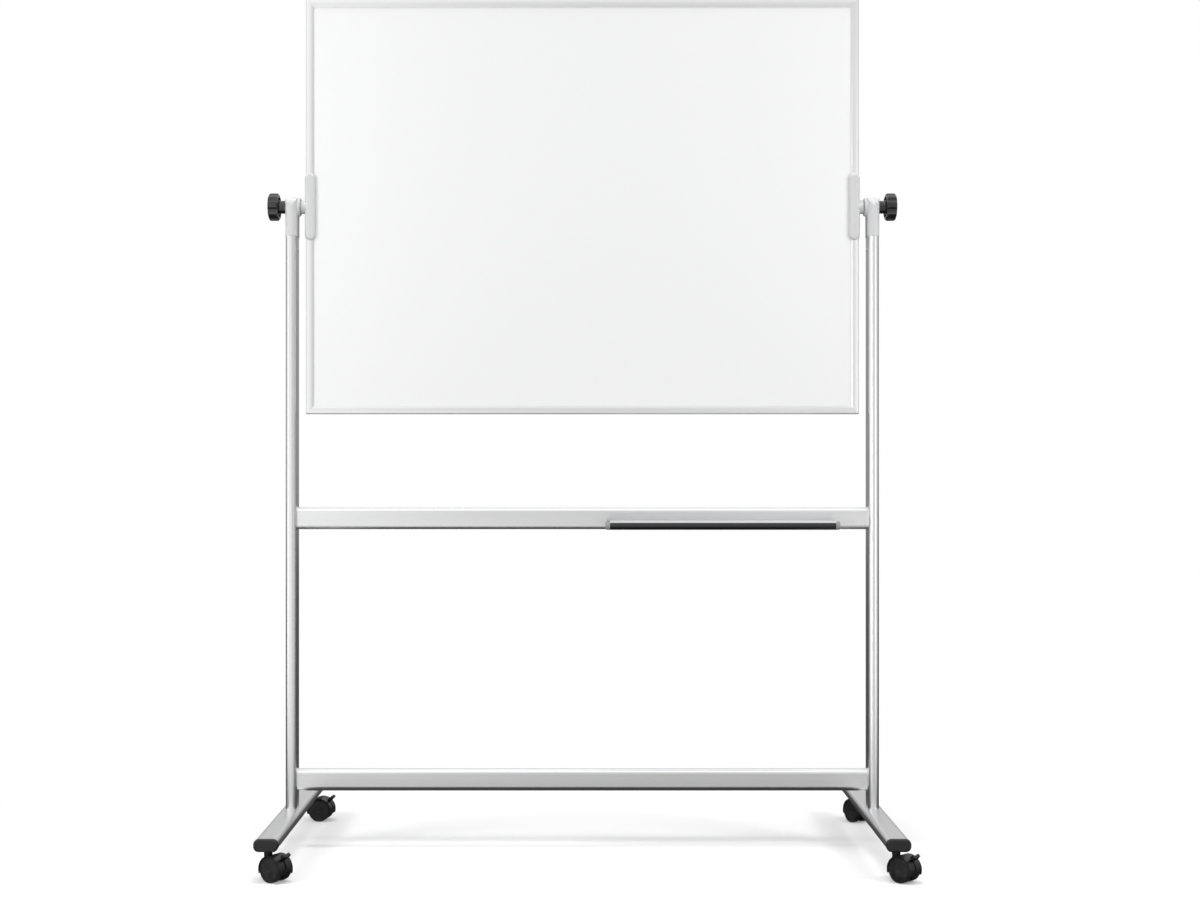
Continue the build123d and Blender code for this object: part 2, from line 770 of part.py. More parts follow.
def caster_housing():
    """The hood over both wheels, the web between them and the tower for the stem."""
    hood_half = wheel_outer_face - hood_inset
    drop = hood_drop_angle
    hood = wedge_about_axle(hood_inner_radius, hood_radius, -drop, 180 + drop, hood_half)
    web = wedge_about_axle(
        lever_hub_radius, hood_inner_radius + 0.1, -drop, 180 + drop, web_width / 2
    )
    web += disc_about_axle(lever_hub_radius + 2.5, -web_width / 2, web_width / 2)
    tower_top = arm_underside - tower_gap
    tower = rod_z(wheel_radius, tower_top, tower_radius)
    tower = fillet(tower.edges().sort_by(Axis.Z)[-1], 1.0)
    for side in (-1, 1):
        low = side * (wheel_inner_face - wheel_side_gap)
        high = side * (tower_radius + 1)
        tower -= disc_about_axle(hood_inner_radius, min(low, high), max(low, high))
    body = hood + web + tower
    lever_slot = wedge_about_axle(
        0.1, hood_radius + 2, lever_slot_start(), lever_slot_end(), slot_half_width()
    )
    pocket_radius = (lever_arm_width / 2 + moving_gap) / math.sin(math.radians(2 * lever_half_angle()))
    lever_slot += disc_about_axle(pocket_radius, -slot_half_width(), slot_half_width())
    body -= lever_slot
    body -= disc_about_axle(axle_radius, -web_width, web_width)
    body -= rod_z(stem_pin_bottom, tower_top + 1, stem_pin_radius + running_gap)
    return body


def slot_half_width():
    return lever_thickness / 2 + lever_side_gap


def lever_half_angle():
    """Half the angle that the lever's arm takes up where it passes the hood."""
    return math.degrees(math.asin(lever_arm_width / 2 / hood_inner_radius))


def lever_slot_start():
    return lever_angle - lever_travel - 2 * lever_half_angle()


def lever_slot_end():
    return lever_angle + 2 * lever_half_angle()


def caster_axle():
    """A plain pin through the web into both wheel hubs."""
    half = wheel_outer_face - wheel_disc_wall - moving_gap
    pin = disc_about_axle(axle_radius, -half, half)
    return chamfer(pin.edges().filter_by(GeomType.CIRCLE), 0.4)


def wheel():
    """The wheel on the +Y side: tread, domed disc, open inner side and hub."""
    face = wheel_width
    rim_inner = wheel_radius - wheel_rim
    groove_outer = wheel_radius - wheel_edge_radius - 0.8
    groove_inner = groove_outer - disc_groove
    outline = Polyline(
        (axle_radius + running_gap, 0),
        (hub_radius, 0),
        (hub_radius, face - wheel_disc_wall - disc_dome),
        (rim_inner, face - wheel_disc_wall - disc_dome),
        (rim_inner, 1),
        (wheel_radius - 1, 0),
        (wheel_radius, 1),
        (wheel_radius, face - wheel_edge_radius - disc_dome),
    )
    outline += RadiusArc(
        (wheel_radius, face - wheel_edge_radius - disc_dome),
        (wheel_radius - wheel_edge_radius, face - disc_dome),
        -wheel_edge_radius,
    )
    outline += Polyline(
        (wheel_radius - wheel_edge_radius, face - disc_dome),
        (groove_outer, face - disc_dome),
        (groove_outer, face - disc_dome - disc_groove),
        (groove_inner, face - disc_dome - disc_groove),
        (groove_inner, face - disc_dome),
    )
    outline += dome_arc(groove_inner, disc_dome, face)
    outline += Polyline(
        (0, face),
        (0, face - wheel_disc_wall),
        (axle_radius + running_gap, face - wheel_disc_wall),
        (axle_radius + running_gap, 0),
    )
    body = revolve(Plane.XZ * make_face(outline), Axis.Z)
    plane = Plane(
        origin=(caster_trail, wheel_inner_face, wheel_radius), x_dir=(1, 0, 0), z_dir=(0, 1, 0)
    )
    return plane * body


def brake_lever():
    """The brake: a hub on the axle, an arm through the hood's slot and a horned pedal."""
    hub = disc_about_axle(lever_hub_radius, -lever_thickness / 2, lever_thickness / 2)
    arm_length = hood_radius + lever_lift + 2
    arm = Pos(arm_length / 2, 0, 0) * Box(arm_length, lever_thickness, lever_arm_width)
    inner = hood_radius + lever_lift
    dip = (lever_tip_radius - inner) * 0.45
    half = lever_head_width / 2
    pedal = Polyline(
        (inner, -half * 0.35),
        (inner + dip, -half),
        (lever_tip_radius, -half),
        (lever_tip_radius, -half * 0.6),
        (lever_tip_radius - dip, 0),
        (lever_tip_radius, half * 0.6),
        (lever_tip_radius, half),
        (inner + dip, half),
        (inner, half * 0.35),
        close=True,
    )
    head = extrude(Plane.XY * make_face(pedal), lever_arm_width / 2, both=True)
    lever = hub + Pos(caster_trail, 0, wheel_radius) * Rot(Y=-lever_angle) * (arm + head)
    return lever - disc_about_axle(axle_radius + running_gap, -caster_width, caster_width)


def caster_stems():
    """Threaded stems that screw up into the arms; the casters swivel on their pins."""
    pin = rod_z(stem_pin_bottom + moving_gap, arm_underside, stem_pin_radius)
    collar = rod_z(arm_underside - tower_gap + moving_gap, arm_underside, collar_radius)
    thread = rod_z(arm_underside, arm_top - tube_wall - 1, stem_thread_radius)
    thread = chamfer(thread.edges().sort_by(Axis.Z)[-1], 0.8)
    stem = pin + collar + thread
    return [Pos(x, y, 0) * stem for _, x, y, _ in casters]


def caster_sockets():
    """Tapped sleeves between the walls of a foot arm, one over each caster."""
    low = arm_underside + tube_wall
    high = arm_top - tube_wall
    sleeve = rod_z(low, high, socket_radius) - rod_z(low - 1, high + 1, stem_thread_radius)
    return [Pos(x, y, 0) * sleeve for _, x, y, _ in casters]


# ------------------------------------------------------------------ all the parts
def build_parts():
    parts = {}
    for name, side in (("left", -1), ("right", 1)):
        parts[f"{name}_foot_arm"] = Pos(side * post_x, 0, 0) * foot_arm()
    front_cap = foot_end_cap()
    rear_cap = mirror(front_cap, about=Plane.XZ)
    parts["foot_end_caps"] = [
        Pos(x, 0, 0) * cap for x in (-post_x, post_x) for cap in (front_cap, rear_cap)
    ]
    parts["right_post"] = post()
    parts["left_post"] = left_of(post())
    parts["mid_crossbar"] = crossbar(mid_bar_height)
    parts["low_crossbar"] = crossbar(low_bar_height)
    parts["crossbar_end_plugs"] = crossbar_end_plugs()
    parts["crossbar_bolts"] = crossbar_bolts()
    parts["post_foot_plugs"] = post_foot_plugs()
    parts["post_foot_bolts"] = post_foot_bolts()
    parts["access_hole_covers"] = access_hole_covers()
    parts["right_post_head"] = post_head()
    parts["left_post_head"] = left_of(post_head())
    parts["head_screws"] = head_screws()
    parts["pivot_bushes"] = pivot_bushes()
    parts["caster_sockets"] = caster_sockets()
    parts["caster_stems"] = caster_stems()
    parts["marker_tray"] = marker_tray()
    parts["tray_end_caps"] = tray_end_caps()
    parts["tray_screws"] = tray_screws()

    core_face = sheet_face - sheet_thickness - panel_clearance
    parts["front_sheet"] = panel_layer(-core_face - sheet_thickness, -core_face)
    parts["rear_sheet"] = panel_layer(core_face, core_face + sheet_thickness)
    parts["board_core"] = panel_layer(-core_face, core_face)
    parts["top_rail"] = top_rail()
    parts["bottom_rail"] = bottom_rail()
    parts["right_stile"] = stile()
    parts["left_stile"] = left_of(stile())
    parts["corner_keys"] = corner_keys()
    parts["right_board_bracket"] = board_bracket()
    parts["left_board_bracket"] = left_of(board_bracket())
    parts["bracket_screws"] = bracket_screws()
    parts["pivot_studs"] = pivot_studs()
    parts["friction_washers"] = friction_washers()

    for maker, name in ((knob, "knob"), (knob_insert, "knob_insert"), (knob_washer, "knob_washer")):
        parts[f"right_{name}"] = maker()
        parts[f"left_{name}"] = left_of(maker())

    plus_wheel = wheel()
    pieces = {
        "housing": caster_housing(),
        "axle": caster_axle(),
        "inner_wheel": plus_wheel,
        "outer_wheel": mirror(plus_wheel, about=Plane.XZ),
        "brake_lever": brake_lever(),
    }
    for name, x, y, heading in casters:
        place = Pos(x, y, 0) * Rot(Z=heading)
        for piece, solid in pieces.items():
            parts[f"{name}_{piece}"] = place * solid
    return parts


def main():
    os.makedirs("parts", exist_ok=True)
    parts = build_parts()
    for name, part in parts.items():
        solids = part if isinstance(part, list) else [part]
        bodies = [solid for item in solids for solid in item.solids()]
        shape = bodies[0] if len(bodies) == 1 else Compound(children=bodies)
        export_step(shape, f"parts/{name}.step")
    print(len(parts), "sub-parts written; posts at X =", round(post_x, 2))


main()
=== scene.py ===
# %% [markdown]
# # A rolling whiteboard, from bare solids to finished surfaces
# A double-sided whiteboard hangs between two posts of rounded tube and turns over
# on a pair of pivots. Its solids are already measured and jointed. This lesson
# gives them light, a camera, real finishes, and the small things that a drawing
# leaves out: crossed screw heads, drawing lines, moulded grain and a little dust.

# %% Load the measured frame
import json
import math

import bmesh
import bpy
from mathutils import Matrix, Vector


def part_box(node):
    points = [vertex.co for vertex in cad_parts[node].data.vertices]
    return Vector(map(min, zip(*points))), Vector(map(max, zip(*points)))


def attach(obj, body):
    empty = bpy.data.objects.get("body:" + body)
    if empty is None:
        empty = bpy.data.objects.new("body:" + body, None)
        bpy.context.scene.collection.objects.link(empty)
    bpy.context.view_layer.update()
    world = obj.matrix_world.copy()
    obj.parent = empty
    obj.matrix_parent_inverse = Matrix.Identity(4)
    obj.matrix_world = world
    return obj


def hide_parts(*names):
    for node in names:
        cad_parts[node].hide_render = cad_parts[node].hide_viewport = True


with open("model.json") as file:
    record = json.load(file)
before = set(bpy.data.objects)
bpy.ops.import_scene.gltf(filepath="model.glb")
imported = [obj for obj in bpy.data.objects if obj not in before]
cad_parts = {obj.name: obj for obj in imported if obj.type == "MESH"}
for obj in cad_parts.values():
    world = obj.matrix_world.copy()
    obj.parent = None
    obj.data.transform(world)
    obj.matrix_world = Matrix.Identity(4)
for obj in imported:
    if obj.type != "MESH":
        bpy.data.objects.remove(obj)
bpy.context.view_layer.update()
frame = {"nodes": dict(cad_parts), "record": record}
nodes = frame["nodes"]
scene = bpy.context.scene

# %% [markdown]
# ## The camera
# The stand is seen square on, from a little under the middle of its height, so
# that the posts stay upright and parallel. A level camera does that by itself,
# and a small shift, as on a view camera, sets the framing without tilting it.

# %% Set up the camera
EYE_DISTANCE = 3.713
EYE_HEIGHT = 0.851
EYE_SIDE = 0.0026
SENSOR_WIDTH, LENS_LENGTH = 36.0, 51.2
FRAMING_SHIFT = (0.0137, 0.0053)
camera_data = bpy.data.cameras.new("view_camera")
camera_data.sensor_width = SENSOR_WIDTH
camera_data.lens = LENS_LENGTH
camera_data.shift_x, camera_data.shift_y = FRAMING_SHIFT
camera = bpy.data.objects.new("view_camera", camera_data)
camera.location = (EYE_SIDE, -EYE_DISTANCE, EYE_HEIGHT)
camera.rotation_euler = (math.radians(90), 0.0, 0.0)
scene.collection.objects.link(camera)
scene.camera = camera
print("camera", round(EYE_DISTANCE, 2), "m away, lens", camera_data.lens, "mm")

# %% [markdown]
# ## The light
# Bright metal has hardly any colour of its own: it shows the room. So the lights
# come in two kinds. Cards that only mirrors see give each round corner of a tube
# one long white band, with a tall strip and a wide card on the left and two narrow
# cards for the right-hand post. Soft boxes that only painted surfaces see light the
# board and the floor and throw the soft shadows of the feet and the low bar. They
# stay out of mirrors, because a small bright square in a tube looks like a scratch.

# %% Hang the soft boxes
scene.view_settings.view_transform = "Standard"
scene.view_settings.look = "None"


def soft_box(name, place, target, width, height, power, seen_by="surfaces", spread=180.0):
    """A rectangular light at place that faces target, for surfaces or for mirrors only."""
    data = bpy.data.lights.new(name, "AREA")
    data.shape = "RECTANGLE"
    data.size = width
    data.size_y = height
    data.energy = power
    data.spread = math.radians(spread)
    light = bpy.data.objects.new(name, data)
    light.location = place
    aim = Vector(target) - Vector(place)
    light.rotation_euler = aim.to_track_quat("-Z", "Y").to_euler()
    light.visible_glossy = seen_by == "mirrors"
    light.visible_diffuse = seen_by == "surfaces"
    scene.collection.objects.link(light)


HIGH_BOX_SIZE, HIGH_BOX_POWER = 0.6, 20.0
soft_box("left_strip", (-2.17, -1.0, 1.15), (-0.63, 0.0, 1.15), 0.6, 2.3, 3.0, "mirrors")
soft_box("left_card", (-1.98, -2.5, 1.8), (0.62, 0.0, 1.8), 3.2, 3.8, 14.0, "mirrors")
soft_box("right_card", (1.63, -1.73, 0.9), (0.63, 0.0, 0.9), 1.4, 2.4, 0.7, "mirrors", 34.0)
soft_box("front_card", (-0.25, -1.83, 0.7), (0.63, 0.0, 0.7), 0.4, 2.0, 0.22, "mirrors", 22.0)
for side in (-1, 1):
    soft_box(
        f"high_box_{'left' if side < 0 else 'right'}",
        (side * 2.17, -1.0, 1.9), (side * 0.5, 0.0, 0.2),
        HIGH_BOX_SIZE, HIGH_BOX_SIZE, HIGH_BOX_POWER,
    )
soft_box("overhead_box", (-0.2, -0.5, 5.0), (0.0, 0.0, 1.0), 2.0, 0.7, 80.0)
soft_box("low_front_box", (0.0, -3.2, 0.5), (0.0, 0.0, 0.9), 2.4, 0.8, 15.0)

# %% [markdown]
# ## The room
# The air behind the stand is white. What the lens sees and what the metal mirrors
# are set apart with the Light Path node: to the lens the room is white, and to a
# reflection it is a studio that is bright in front and overhead and dim behind,
# which keeps the dark lines along the tubes that show their shape. A pale backdrop
# stands low behind, for the tops of the feet.


# %% Colour the air
def shader_nodes(owner):
    """An emptied node tree of a material or world, with its nodes and links."""
    owner.use_nodes = True
    owner.node_tree.nodes.clear()
    return owner.node_tree.nodes, owner.node_tree.links


def math_node(tree, operation, first, second=None, clamp=False):
    """A Math node whose inputs are sockets or plain numbers; gives its output socket."""
    node = tree.nodes.new("ShaderNodeMath")
    node.operation = operation
    node.use_clamp = clamp
    for slot_index, value in enumerate((first, second)):
        if value is None:
            continue
        if isinstance(value, (int, float)):
            node.inputs[slot_index].default_value = value
        else:
            tree.links.new(value, node.inputs[slot_index])
    return node.outputs["Value"]


def span_node(tree, value, low, high, to_low=0.0, to_high=1.0):
    """A clamped Map Range from low..high to to_low..to_high; gives its result socket."""
    node = tree.nodes.new("ShaderNodeMapRange")
    node.inputs["From Min"].default_value = low
    node.inputs["From Max"].default_value = high
    node.inputs["To Min"].default_value = to_low
    node.inputs["To Max"].default_value = to_high
    tree.links.new(value, node.inputs["Value"])
    return node.outputs["Result"]


WHITE = (1.0, 1.0, 1.0, 1.0)
ROOM_FRONT, ROOM_BACK, ROOM_TOP = 0.64, 0.30, 0.72
ROOM_FOR_DIFFUSE = 0.64
BACKDROP = 0.26
CEILING_FROM, CEILING_TO = 0.28, 0.75
BACKDROP_FROM, BACKDROP_TO = 0.6, 0.9
world = bpy.data.worlds.new("studio_air")
scene.world = world
made, links = shader_nodes(world)
room = world.node_tree
towards = made.new("ShaderNodeTexCoord").outputs["Generated"]
parts = made.new("ShaderNodeSeparateXYZ")
links.new(towards, parts.inputs["Vector"])
walls = span_node(room, parts.outputs["Y"], -1.0, 1.0, ROOM_FRONT, ROOM_BACK)
ceiling = span_node(room, parts.outputs["Z"], CEILING_FROM, CEILING_TO, 0.0, ROOM_TOP)
behind = span_node(room, parts.outputs["Y"], BACKDROP_FROM, BACKDROP_TO, 0.0, BACKDROP)
backdrop = math_node(room, "MULTIPLY", behind, span_node(room, parts.outputs["Z"], 0.10, 0.20))
path = made.new("ShaderNodeLightPath")
dimmed = span_node(room, path.outputs["Is Diffuse Ray"], 0.0, 1.0, 1.0, ROOM_FOR_DIFFUSE)
mirrored = made.new("ShaderNodeBackground")
around = math_node(room, "ADD", math_node(room, "ADD", walls, ceiling), backdrop)
level = math_node(room, "MULTIPLY", around, dimmed)
links.new(level, mirrored.inputs["Strength"])
mirrored.inputs["Color"].default_value = WHITE
white = made.new("ShaderNodeBackground")
white.inputs["Color"].default_value = WHITE
either = made.new("ShaderNodeMixShader")
out = made.new("ShaderNodeOutputWorld")
links.new(path.outputs["Is Camera Ray"], either.inputs["Fac"])
links.new(mirrored.outputs["Background"], either.inputs[1])
links.new(white.outputs["Background"], either.inputs[2])
links.new(either.outputs["Shader"], out.inputs["Surface"])
print("room levels:", ROOM_FRONT, ROOM_BACK, ROOM_TOP)

# %% [markdown]
# The floor is plain and pale. Close to the stand it takes real shadows, and further
# out it fades into the white air, as a paper sweep does. In the metal it is bright
# in front of the stand and dark beneath it, so that the undersides stay dark.

# %% Lay the floor
FLOOR_HALF = 14.0
FLOOR_LIFT = 0.20
FADE_FROM, FADE_TO = 0.9, 1.5
sheet_mesh = bpy.data.meshes.new("studio_floor")
builder = bmesh.new()
bmesh.ops.create_grid(builder, x_segments=1, y_segments=1, size=FLOOR_HALF)
builder.to_mesh(sheet_mesh)
builder.free()
floor = bpy.data.objects.new("studio_floor", sheet_mesh)
scene.collection.objects.link(floor)

floor_paint = bpy.data.materials.new("floor_paint")
made, links = shader_nodes(floor_paint)
tree = floor_paint.node_tree
paint = made.new("ShaderNodeBsdfDiffuse")
paint.inputs["Color"].default_value = (0.80, 0.80, 0.805, 1.0)
lift = made.new("ShaderNodeEmission")
lift.inputs["Color"].default_value = WHITE
lift.inputs["Strength"].default_value = FLOOR_LIFT
lit = made.new("ShaderNodeAddShader")
links.new(paint.outputs["BSDF"], lit.inputs[0])
links.new(lift.outputs["Emission"], lit.inputs[1])
sweep = made.new("ShaderNodeEmission")
sweep.inputs["Color"].default_value = WHITE
where = made.new("ShaderNodeTexCoord").outputs["Object"]
length = made.new("ShaderNodeVectorMath")
length.operation = "LENGTH"
links.new(where, length.inputs[0])
faded = made.new("ShaderNodeMixShader")
links.new(span_node(tree, length.outputs["Value"], FADE_FROM, FADE_TO), faded.inputs["Fac"])
links.new(lit.outputs["Shader"], faded.inputs[1])
links.new(sweep.outputs["Emission"], faded.inputs[2])
parts = made.new("ShaderNodeSeparateXYZ")
links.new(where, parts.inputs["Vector"])
in_metal = made.new("ShaderNodeEmission")
in_metal.inputs["Color"].default_value = WHITE
ahead = span_node(tree, parts.outputs["Y"], -0.72, -0.30, 1.0, 0.07)
sideways = span_node(tree, parts.outputs["X"], -0.75, 0.75, 0.88, 0.60)
links.new(math_node(tree, "MULTIPLY", ahead, sideways), in_metal.inputs["Strength"])
path = made.new("ShaderNodeLightPath")
either = made.new("ShaderNodeMixShader")
out = made.new("ShaderNodeOutputMaterial")
links.new(path.outputs["Is Camera Ray"], either.inputs["Fac"])
links.new(in_metal.outputs["Emission"], either.inputs[1])
links.new(faded.outputs["Shader"], either.inputs[2])
links.new(either.outputs["Shader"], out.inputs["Surface"])
floor.data.materials.append(floor_paint)
print("floor", 2 * FLOOR_HALF, "m square")

# %% [markdown]
# ## Effects that several finishes share
# A finish is rarely one thing. Drawn metal has lines along its length, moulded
# plastic has a fine spark-eroded grain, corners wear a little brighter, and dust
# settles low down. Each effect is made once, as a node group with named inputs
# and outputs, and every material then places it with its own values.


# %% Helpers that build node groups and wire them
def new_group(name, inputs, outputs):
    """An empty shader node group with float, vector or colour sockets."""
    kinds = {"float": "NodeSocketFloat", "vector": "NodeSocketVector", "color": "NodeSocketColor"}
    group = bpy.data.node_groups.new(name, "ShaderNodeTree")
    for socket_name, kind, value in inputs:
        socket = group.interface.new_socket(socket_name, in_out="INPUT", socket_type=kinds[kind])
        if value is not None:
            socket.default_value = value
    for socket_name, kind in outputs:
        group.interface.new_socket(socket_name, in_out="OUTPUT", socket_type=kinds[kind])
    entry = group.nodes.new("NodeGroupInput")
    exit_node = group.nodes.new("NodeGroupOutput")
    return group, entry, exit_node


def noise_node(tree, vector, scale, detail=3.0, roughness=0.55):
    """A Noise Texture on a vector socket; gives its factor socket."""
    node = tree.nodes.new("ShaderNodeTexNoise")
    node.inputs["Detail"].default_value = detail
    node.inputs["Roughness"].default_value = roughness
    tree.links.new(vector, node.inputs["Vector"])
    if isinstance(scale, (int, float)):
        node.inputs["Scale"].default_value = scale
    else:
        tree.links.new(scale, node.inputs["Scale"])
    return node.outputs["Fac"]


# %% Drawn lines along an extrusion
def make_drawn_lines():
    """Fine parallel lines: noise on coordinates that are squeezed along one way."""
    group, entry, exit_node = new_group(
        "drawn_lines",
        [("Stretched", "vector", None), ("Fineness", "float", 1.0)],
        [("Lines", "float"), ("Cloud", "float")],
    )
    fine = noise_node(group, entry.outputs["Stretched"], entry.outputs["Fineness"], 2.0, 0.6)
    wide_scale = math_node(group, "MULTIPLY", entry.outputs["Fineness"], 0.13)
    wide = noise_node(group, entry.outputs["Stretched"], wide_scale, 2.0, 0.5)
    group.links.new(span_node(group, fine, 0.3, 0.7), exit_node.inputs["Lines"])
    group.links.new(span_node(group, wide, 0.3, 0.7), exit_node.inputs["Cloud"])
    return group


drawn_lines = make_drawn_lines()


# %% The grain of a spark-eroded mould
def make_mould_grain():
    """A fine pebbled height, and patches where the grain is a little glossier."""
    group, entry, exit_node = new_group(
        "mould_grain",
        [("Vector", "vector", None), ("Fineness", "float", 1400.0)],
        [("Height", "float"), ("Patches", "float")],
    )
    pebbles = group.nodes.new("ShaderNodeTexVoronoi")
    pebbles.feature = "SMOOTH_F1"
    group.links.new(entry.outputs["Vector"], pebbles.inputs["Vector"])
    group.links.new(entry.outputs["Fineness"], pebbles.inputs["Scale"])
    patch_scale = math_node(group, "MULTIPLY", entry.outputs["Fineness"], 0.02)
    patches = noise_node(group, entry.outputs["Vector"], patch_scale, 3.0)
    group.links.new(pebbles.outputs["Distance"], exit_node.inputs["Height"])
    group.links.new(span_node(group, patches, 0.35, 0.65), exit_node.inputs["Patches"])
    return group


mould_grain = make_mould_grain()


# %% Dust that thins out with height
def make_settled_dust():
    """A soft mask: most near the floor, broken up by two sizes of noise."""
    group, entry, exit_node = new_group(
        "settled_dust",
        [("Vector", "vector", None), ("Reach", "float", 0.1), ("Amount", "float", 0.5)],
        [("Mask", "float")],
    )
    parts = group.nodes.new("ShaderNodeSeparateXYZ")
    group.links.new(entry.outputs["Vector"], parts.inputs["Vector"])
    share = math_node(group, "DIVIDE", parts.outputs["Z"], entry.outputs["Reach"])
    low_down = math_node(group, "SUBTRACT", 1.0, share, clamp=True)
    coarse = noise_node(group, entry.outputs["Vector"], 60.0, 4.0)
    fine = noise_node(group, entry.outputs["Vector"], 900.0, 2.0)
    patchy = span_node(group, coarse, 0.35, 0.7)
    broken = math_node(group, "MULTIPLY", patchy, span_node(group, fine, 0.2, 0.6))
    mask = math_node(group, "MULTIPLY", low_down, broken)
    masked = math_node(group, "MULTIPLY", mask, entry.outputs["Amount"])
    group.links.new(masked, exit_node.inputs["Mask"])
    return group


settled_dust = make_settled_dust()


# %% Light wear along the corners
def make_corner_wear():
    """A mask that is high where the surface turns within the width given, but patchy."""
    group, entry, exit_node = new_group(
        "corner_wear",
        [("Vector", "vector", None), ("Rounded", "vector", None), ("Amount", "float", 0.5)],
        [("Mask", "float")],
    )
    shape = group.nodes.new("ShaderNodeNewGeometry")
    turn = group.nodes.new("ShaderNodeVectorMath")
    turn.operation = "DOT_PRODUCT"
    group.links.new(entry.outputs["Rounded"], turn.inputs[0])
    group.links.new(shape.outputs["Normal"], turn.inputs[1])
    corner = span_node(group, turn.outputs["Value"], 0.995, 0.86)
    handled = noise_node(group, entry.outputs["Vector"], 220.0, 4.0)
    mask = math_node(group, "MULTIPLY", corner, span_node(group, handled, 0.42, 0.62))
    masked = math_node(group, "MULTIPLY", mask, entry.outputs["Amount"])
    group.links.new(masked, exit_node.inputs["Mask"])
    return group


corner_wear = make_corner_wear()
print("groups:", sorted(g.name for g in bpy.data.node_groups))

# %% [markdown]
# ## The finishes
# Each finish starts from the same bench: a Principled shader, coordinates that are
# fixed to the piece, and a Bevel node, which softens the corners that the solids
# leave razor sharp. What makes it anodised, enamelled or moulded comes after.


# %% A bench that every finish starts from
class Bench:
    """The nodes that every finish of this stand has."""

    def __init__(self, name, color, roughness, metallic=0.0, corner=0.0004):
        self.material = bpy.data.materials.new(name)
        self.nodes, self.links = shader_nodes(self.material)
        self.tree = self.material.node_tree
        self.shader = self.nodes.new("ShaderNodeBsdfPrincipled")
        self.shader.inputs["Base Color"].default_value = (*color, 1.0)
        self.shader.inputs["Roughness"].default_value = roughness
        self.shader.inputs["Metallic"].default_value = metallic
        self.place = self.nodes.new("ShaderNodeTexCoord").outputs["Object"]
        self.rounded = self.nodes.new("ShaderNodeBevel")
        self.rounded.samples = 4
        self.rounded.inputs["Radius"].default_value = corner
        self.normal = self.rounded.outputs["Normal"]
        self.links.new(self.normal, self.shader.inputs["Normal"])
        output = self.nodes.new("ShaderNodeOutputMaterial")
        self.links.new(self.shader.outputs["BSDF"], output.inputs["Surface"])

    def scaled(self, x, y, z):
        """The piece's coordinates, stretched by a Mapping node."""
        mapping = self.nodes.new("ShaderNodeMapping")
        mapping.inputs["Scale"].default_value = (x, y, z)
        self.links.new(self.place, mapping.inputs["Vector"])
        return mapping.outputs["Vector"]

    def effect(self, group, **values):
        """Places a shared effect; each value is a socket or a number."""
        node = self.nodes.new("ShaderNodeGroup")
        node.node_tree = group
        for name, value in values.items():
            if isinstance(value, (int, float)):
                node.inputs[name].default_value = value
            else:
                self.links.new(value, node.inputs[name])
        return node

    def bump(self, height, depth):
        """Raises the surface by depth metres where height is 1."""
        node = self.nodes.new("ShaderNodeBump")
        node.inputs["Distance"].default_value = depth
        self.links.new(height, node.inputs["Height"])
        self.links.new(self.normal, node.inputs["Normal"])
        self.normal = node.outputs["Normal"]
        self.links.new(self.normal, self.shader.inputs["Normal"])

    def mix(self, mask, first, second):
        """A colour that goes from first to second as mask goes from 0 to 1."""
        node = self.nodes.new("ShaderNodeMix")
        node.data_type = "RGBA"
        self.links.new(mask, node.inputs["Factor"])
        for socket, value in ((node.inputs["A"], first), (node.inputs["B"], second)):
            if isinstance(value, tuple):
                socket.default_value = (*value, 1.0)
            else:
                self.links.new(value, socket)
        return node.outputs["Result"]

    def set(self, socket_name, value):
        self.links.new(value, self.shader.inputs[socket_name])


# %% [markdown]
# Tubes, rails and the pen tray are drawn aluminium, anodised to a pale satin. The
# die leaves very fine lines along the length and slow cloudy bands beside them.
# Noise squeezed along one axis makes both, so each finish is told which way its
# piece was drawn. The tray is the same metal, with painted shade on its lower
# front and underside: a near-black colour where those faces look down or forward.

# %% Anodised aluminium, drawn along X, Y or Z
LINE_FINENESS = 1500.0
LINE_SQUEEZE = 0.004
LINE_DEPTH = 0.000004
# painted shade: the near-black colour given to the tray's lower front and underside
TRAY_PAINTED_SHADE = (0.075, 0.076, 0.078)
OUTWARD = -0.05
TRAY_FRONT = -0.02


def painted_shade_mask(bench, top):
    """A mask of painted shade: the tray's outer front and underside, up to a height."""
    at = bench.nodes.new("ShaderNodeSeparateXYZ")
    bench.links.new(bench.place, at.inputs["Vector"])
    facing = bench.nodes.new("ShaderNodeSeparateXYZ")
    normal = bench.nodes.new("ShaderNodeTexCoord").outputs["Normal"]
    bench.links.new(normal, facing.inputs["Vector"])
    # painted shade goes on faces below the lip that look down, or forward at the front
    low = math_node(bench.tree, "LESS_THAN", at.outputs["Z"], top)
    down = math_node(bench.tree, "LESS_THAN", facing.outputs["Z"], OUTWARD)
    forward = math_node(bench.tree, "LESS_THAN", facing.outputs["Y"], OUTWARD)
    front = math_node(bench.tree, "LESS_THAN", at.outputs["Y"], TRAY_FRONT)
    ahead = math_node(bench.tree, "MULTIPLY", forward, front)
    outward = math_node(bench.tree, "MAXIMUM", down, ahead)
    return math_node(bench.tree, "MULTIPLY", low, outward)


def anodised(name, along, color, roughness, painted_shade_below=None):
    bench = Bench(name, color, roughness, metallic=1.0, corner=0.0005)
    scale = [1.0, 1.0, 1.0]
    scale["XYZ".index(along)] = LINE_SQUEEZE
    lines = bench.effect(drawn_lines, Stretched=bench.scaled(*scale), Fineness=LINE_FINENESS)
    darker = tuple(channel * 0.965 for channel in color)
    shade = bench.mix(lines.outputs["Cloud"], color, darker)
    # painted shade: below the lip, faces that look down or forward take the dark colour
    if painted_shade_below is not None:
        shade = bench.mix(painted_shade_mask(bench, painted_shade_below), shade, TRAY_PAINTED_SHADE)
    bench.set("Base Color", shade)
    smooth, rough = roughness - 0.03, roughness + 0.04
    bench.set("Roughness", span_node(bench.tree, lines.outputs["Lines"], 0, 1, smooth, rough))
    bench.bump(lines.outputs["Lines"], LINE_DEPTH)
    return bench.material


